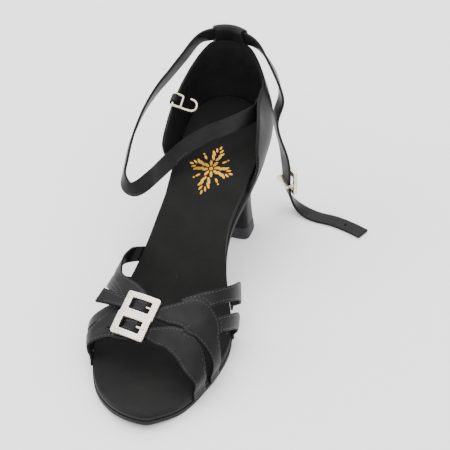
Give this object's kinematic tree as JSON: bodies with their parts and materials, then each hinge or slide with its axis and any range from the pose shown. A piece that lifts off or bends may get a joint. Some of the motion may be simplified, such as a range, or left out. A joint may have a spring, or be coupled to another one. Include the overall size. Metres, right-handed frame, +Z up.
{
  "type": "dance shoe",
  "caption": "Open-toe ballroom dance sandal with a flared mid-height heel, strapped vamp with a twin-window buckle, closed heel cup and a loose ankle strap.",
  "frame": {"origin": "on the floor, at the flat of the forefoot under the ball of the foot", "axes": "+Z up, -Y towards the toe, +X towards the inner side of the foot"},
  "size_m": [0.1455, 0.2307, 0.1262],
  "materials": {
    "sole_suede": "suede sole with a black-inked edge",
    "board_cover": "satin-covered edge of the insole board",
    "sock_nubuck": "black nubuck with a fine nap",
    "heel_satin": "satin stretched over the heel block",
    "tip_rubber": "dark grey rubber top piece",
    "upper_satin": "black satin with folded, stitched edges",
    "buckle_metal": "pale metal set with rows of clear stones",
    "hook_wire": "pale nickel wire"
  },
  "bodies": {
    "shoe": {"outsole": "sole_suede", "insole_board": "board_cover", "insole_sock": "sock_nubuck", "heel": "heel_satin", "heel_tip": "tip_rubber", "counter": "upper_satin", "strap_tunnel": "upper_satin", "vamp_inner": "upper_satin", "vamp_outer": "upper_satin", "vamp_buckle": "buckle_metal", "ankle_strap": "upper_satin", "ankle_buckle": "buckle_metal", "hook_tab": "upper_satin"},
    "hook": {"hook": "hook_wire"}
  },
  "joints": [
    {"name": "hook_swing", "type": "hinge", "parent": "shoe", "child": "hook", "pos_m": [-0.03005, 0.116, 0.09108], "axis": [0.0532, -0.9731, -0.2243], "range_deg": [-15, 195]}
  ]
}
